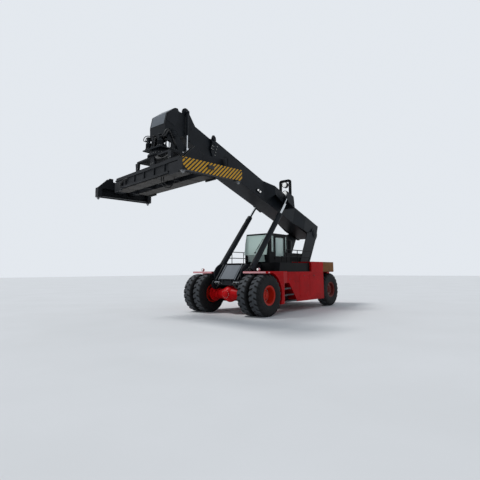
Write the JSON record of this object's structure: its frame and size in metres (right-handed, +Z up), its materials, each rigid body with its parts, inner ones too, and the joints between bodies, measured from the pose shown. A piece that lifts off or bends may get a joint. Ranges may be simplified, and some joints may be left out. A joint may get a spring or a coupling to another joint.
{
  "type": "reach stacker",
  "caption": "Container-handling truck with a telescopic lifting boom over the cab, a rotating spreader with extending end beams, twin drive wheels and steered rear wheels.",
  "frame": {"origin": "on the ground, under the middle of the drive axle", "axes": "X forwards, Y to the left, Z up"},
  "size_m": [12.4785, 6.292, 7.9643],
  "materials": {
    "dark_steel": "satin dark blue-grey paint",
    "red_paint": "semi-gloss red paint",
    "dark_red_paint": "semi-gloss dark red paint",
    "brown_paint": "satin orange-brown paint",
    "rim_paint": "satin orange-red paint",
    "black_plastic": "matt",
    "lamp_white": "gloss, reflective",
    "cast_engine": "matt",
    "window_glass": "pale green tint",
    "tyre_rubber": "matt",
    "rod_chrome": "polished",
    "bare_steel": "worn"
  },
  "bodies": {
    "chassis": {"frame_left": "dark_steel", "frame_right": "dark_steel", "frame_front": "dark_steel", "frame_rear": "dark_steel", "engine_block": "cast_engine", "engine_hood": "dark_steel", "walkways": "dark_steel", "left_side_tank": "red_paint", "right_side_tank": "red_paint", "fenders": "dark_steel", "front_markers": "lamp_white", "counterweight": "red_paint", "counterweight_ends": "brown_paint", "drive_axle": "red_paint", "steer_axle": "dark_red_paint", "cab_body": "dark_steel", "cab_glass": "window_glass", "cab_interior": "black_plastic", "handrails": "dark_steel"},
    "front_left_wheels": {"front_left_tyres": "tyre_rubber", "front_left_rims": "rim_paint"},
    "front_right_wheels": {"front_right_tyres": "tyre_rubber", "front_right_rims": "rim_paint"},
    "left_steering": {"left_knuckle": "dark_red_paint"},
    "right_steering": {"right_knuckle": "dark_red_paint"},
    "rear_left_wheel": {"rear_left_tyre": "tyre_rubber", "rear_left_rim": "rim_paint"},
    "rear_right_wheel": {"rear_right_tyre": "tyre_rubber", "rear_right_rim": "rim_paint"},
    "door": {"cab_door": "dark_steel", "door_glass": "window_glass"},
    "outer_boom_body": {"outer_boom": "dark_steel", "boom_lamps": "dark_steel"},
    "inner_boom_body": {"inner_boom": "dark_steel"},
    "lift_barrel_pair": {"lift_barrels": "dark_steel"},
    "lift_rod_pair": {"lift_rods": "rod_chrome"},
    "tilt_barrel_pair": {"tilt_barrels": "dark_steel"},
    "tilt_rod_pair": {"tilt_rods": "rod_chrome"},
    "head": {"head_yoke": "dark_steel"},
    "slewing_frame": {"rotator": "dark_steel"},
    "spreader": {"spreader_frame": "dark_steel"},
    "left_end": {"left_end_beam": "dark_steel", "left_twistlocks": "bare_steel"},
    "right_end": {"right_end_beam": "dark_steel", "right_twistlocks": "bare_steel"}
  },
  "joints": [
    {"name": "front_left_wheels_turn", "type": "hinge", "parent": "chassis", "child": "front_left_wheels", "pos_m": [0, 1.535, 0.82], "axis": [0, 1, 0], "continuous": true},
    {"name": "front_right_wheels_turn", "type": "hinge", "parent": "chassis", "child": "front_right_wheels", "pos_m": [0, -1.535, 0.82], "axis": [0, 1, 0], "continuous": true},
    {"name": "steer_left", "type": "hinge", "parent": "chassis", "child": "left_steering", "pos_m": [-6, 1.12, 0.82], "axis": [0, 0, 1], "range_deg": [-45, 45]},
    {"name": "steer_right", "type": "hinge", "parent": "chassis", "child": "right_steering", "pos_m": [-6, -1.12, 0.82], "axis": [0, 0, 1], "range_deg": [-45, 45]},
    {"name": "rear_left_wheel_turn", "type": "hinge", "parent": "left_steering", "child": "rear_left_wheel", "pos_m": [-6, 1.4, 0.82], "axis": [0, 1, 0], "continuous": true},
    {"name": "rear_right_wheel_turn", "type": "hinge", "parent": "right_steering", "child": "rear_right_wheel", "pos_m": [-6, -1.4, 0.82], "axis": [0, 1, 0], "continuous": true},
    {"name": "cab_door_open", "type": "hinge", "parent": "chassis", "child": "door", "pos_m": [-2.355, 0.71, 2.8], "axis": [0, 0, -1], "range_deg": [0, 90]},
    {"name": "boom_lift", "type": "hinge", "parent": "chassis", "child": "outer_boom_body", "pos_m": [-6.2, 0, 3.75], "axis": [0, -1, 0], "range_deg": [-18.7, 41.3]},
    {"name": "boom_extend", "type": "slide", "parent": "outer_boom_body", "child": "inner_boom_body", "axis": [-0.9472, 0, -0.3206], "range_m": [-5.25, 1]},
    {"name": "lift_barrels_swing", "type": "hinge", "parent": "chassis", "child": "lift_barrel_pair", "pos_m": [-0.13, 0, 1.6], "axis": [0, -1, 0], "range_deg": [-0.257, 0.144]},
    {"name": "lift_rods_slide", "type": "slide", "parent": "lift_barrel_pair", "child": "lift_rod_pair", "axis": [-0.6476, 0, 0.7619], "range_m": [-1.0389, 2.2932]},
    {"name": "tilt_barrels_swing", "type": "hinge", "parent": "inner_boom_body", "child": "tilt_barrel_pair", "pos_m": [3.04725, 0, 7.7795], "axis": [0, -1, 0], "range_deg": [-11.61, 5.29]},
    {"name": "tilt_rods_slide", "type": "slide", "parent": "tilt_barrel_pair", "child": "tilt_rod_pair", "axis": [0.0016, 0, -1], "range_m": [-0.4695, 0.2131]},
    {"name": "spreader_level", "type": "hinge", "parent": "inner_boom_body", "child": "head", "pos_m": [3.64955, 0, 6.77984], "axis": [0, -1, 0], "range_deg": [-41.31, 18.71]},
    {"name": "spreader_rotate", "type": "hinge", "parent": "head", "child": "slewing_frame", "pos_m": [3.64955, 0, 6.07984], "axis": [0, 0, 1], "range_deg": [-98.6, 201.4]},
    {"name": "spreader_side_shift", "type": "slide", "parent": "slewing_frame", "child": "spreader", "axis": [0.1115, 0.9938, 0], "range_m": [-0.62, 0.98]},
    {"name": "left_end_telescope", "type": "slide", "parent": "spreader", "child": "left_end", "axis": [0.1115, 0.9938, 0], "range_m": [0, 3.05]},
    {"name": "right_end_telescope", "type": "slide", "parent": "spreader", "child": "right_end", "axis": [-0.1115, -0.9938, 0], "range_m": [0, 3.05]}
  ],
  "couplings": [
    {"joint": "steer_right", "follows": "steer_left", "ratio": 1},
    {"joint": "lift_barrels_swing", "follows": "boom_lift", "ratio": -0.005},
    {"joint": "lift_rods_slide", "follows": "boom_lift", "m_per_rad": 3.18},
    {"joint": "tilt_barrels_swing", "follows": "boom_lift", "ratio": -0.28},
    {"joint": "tilt_rods_slide", "follows": "boom_lift", "m_per_rad": -0.65},
    {"joint": "spreader_level", "follows": "boom_lift", "ratio": -1},
    {"joint": "right_end_telescope", "follows": "left_end_telescope", "ratio": 1}
  ]
}
